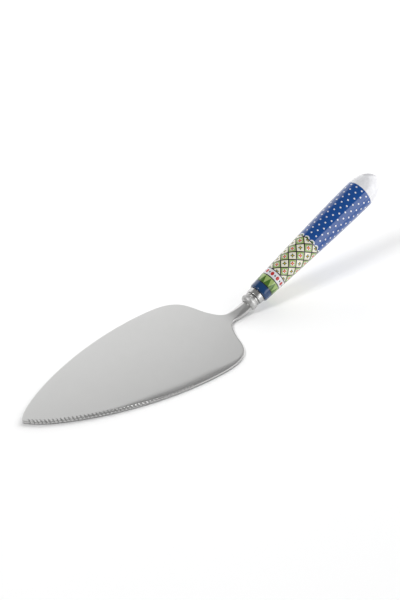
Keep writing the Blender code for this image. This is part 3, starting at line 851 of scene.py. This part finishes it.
def map_print(piece):
    """Map the handle: once round it is 0 to 1 across, and its length is 0 to 1 up."""
    mesh = piece.data
    layer = mesh.uv_layers.new(name="print")
    for face in mesh.polygons:
        middle = turn_share(face.center)
        for loop, vertex in zip(face.loop_indices, face.vertices):
            place = mesh.vertices[vertex].co
            on_axis = math.hypot(place.x, place.y) < ON_AXIS
            share = middle if on_axis else turn_share(place)
            share += round(middle - share)
            layer.uv[loop].vector = (share + 0.5, (place.z - HANDLE_START) / HANDLE_LENGTH)


def build_server():
    """Every piece of the server, each in its CAD node's place."""
    blade = add_piece("server_blade", make_blade(), satin_steel())
    first = min(v.co.x for v in blade.data.vertices)
    shift = Vector((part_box("blade")[0].x - first, 0.0, 0.0))
    blade.data.transform(Matrix.Translation(shift))
    smooth(blade, BLADE_SMOOTH_ANGLE)

    start = bend(SEAT, 0.0, AXIS_HEIGHT) + shift
    axis = Vector((math.cos(CRANK_ANGLE), 0.0, math.sin(CRANK_ANGLE)))
    steel = polished_steel(bead_front=start.dot(axis))
    bolster = add_piece("server_bead", make_bolster(), steel)
    ferrule = add_piece("server_collar", make_ferrule(), steel)
    handle = add_piece("server_handle", make_handle(), printed_porcelain())
    tang_cutter = add_piece("tang_cutter", make_tang_cutter())
    neck_cutter = add_piece("neck_cutter", make_neck_cutter())
    cut(bolster, neck_cutter, tang_cutter)
    cut(ferrule, tang_cutter)
    for cutter in (tang_cutter, neck_cutter):
        bpy.data.objects.remove(cutter)
    map_print(handle)
    for piece in (bolster, ferrule, handle):
        stand_on_axis(piece, start)
        smooth(piece, TURNED_SMOOTH_ANGLE)

    for piece, node, slot in ((blade, "blade", "satin_steel"),
                              (bolster, "bolster", "polished_steel"),
                              (ferrule, "ferrule", "polished_steel"),
                              (handle, "handle", "glazed_porcelain")):
        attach(piece, "root")
        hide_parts(node)

    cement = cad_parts["cement"]
    cement.data.materials.clear()
    cement.data.materials.append(setting_cement())
    return blade, bolster, ferrule, handle, cement


# Studio

def add_floor():
    """A large square that the server lies on."""
    shape = bmesh.new()
    half = FLOOR_SIZE / 2
    corners = ((-half, -half), (half, -half), (half, half), (-half, half))
    shape.faces.new([shape.verts.new((x, y, 0.0)) for x, y in corners])
    floor = add_piece("floor", shape, pale_floor())
    floor.location.z = -FLOOR_DROP
    return floor


def add_light(name, panel):
    """A soft box that looks as bright as its radiance says from where it points."""
    lamp = bpy.data.lights.new(name, "AREA")
    lamp.shape = "RECTANGLE"
    width, height = panel.size
    lamp.size = width
    lamp.size_y = height
    lamp.energy = panel.radiance * math.pi * width * height
    light = bpy.data.objects.new(name, lamp)
    light.location = panel.place
    aim = Vector(panel.target) - Vector(panel.place)
    light.rotation_euler = aim.to_track_quat("-Z", "Y").to_euler()
    light.visible_camera = False
    bpy.context.scene.collection.objects.link(light)
    return light


def group(name, pieces):
    """A collection of the pieces that a light falls on, or that shade it."""
    members = bpy.data.collections.new(name)
    for piece in pieces:
        members.objects.link(piece)
    return members


def add_sky():
    """Even white light from all round."""
    world = bpy.data.worlds.new("studio")
    bpy.context.scene.world = world
    world.use_nodes = True
    background = world.node_tree.nodes["Background"]
    background.inputs["Color"].default_value = SKY
    background.inputs["Strength"].default_value = SKY_STRENGTH


def add_studio(server):
    """Floor, sky and soft boxes. Three of the boxes light only the grip, the blade or the floor."""
    blade, *grip = server
    add_sky()
    floor = add_floor()
    lights = {name: add_light(name, panel) for name, panel in PANELS.items()}
    lights["front"].light_linking.receiver_collection = group("front_lit", grip)
    lights["edge"].light_linking.receiver_collection = group("edge_lit", [blade])
    lights["table"].light_linking.receiver_collection = group("table_lit", [floor])
    lights["table"].light_linking.blocker_collection = group("table_blockers", [blade])


def add_camera():
    """A camera fitted to the photograph's view."""
    lens = bpy.data.cameras.new("camera")
    lens.lens = LENS
    lens.sensor_width = SENSOR
    lens.shift_x = -HALF_PIXEL
    lens.shift_y = HALF_PIXEL
    lens.clip_start = CLIP_START
    camera = bpy.data.objects.new("camera", lens)
    camera.location = CAMERA_PLACE
    camera.rotation_euler = CAMERA_TURN
    bpy.context.scene.collection.objects.link(camera)
    bpy.context.scene.camera = camera


server = build_server()
add_studio(server)
add_camera()
bpy.context.scene.view_settings.view_transform = "Standard"
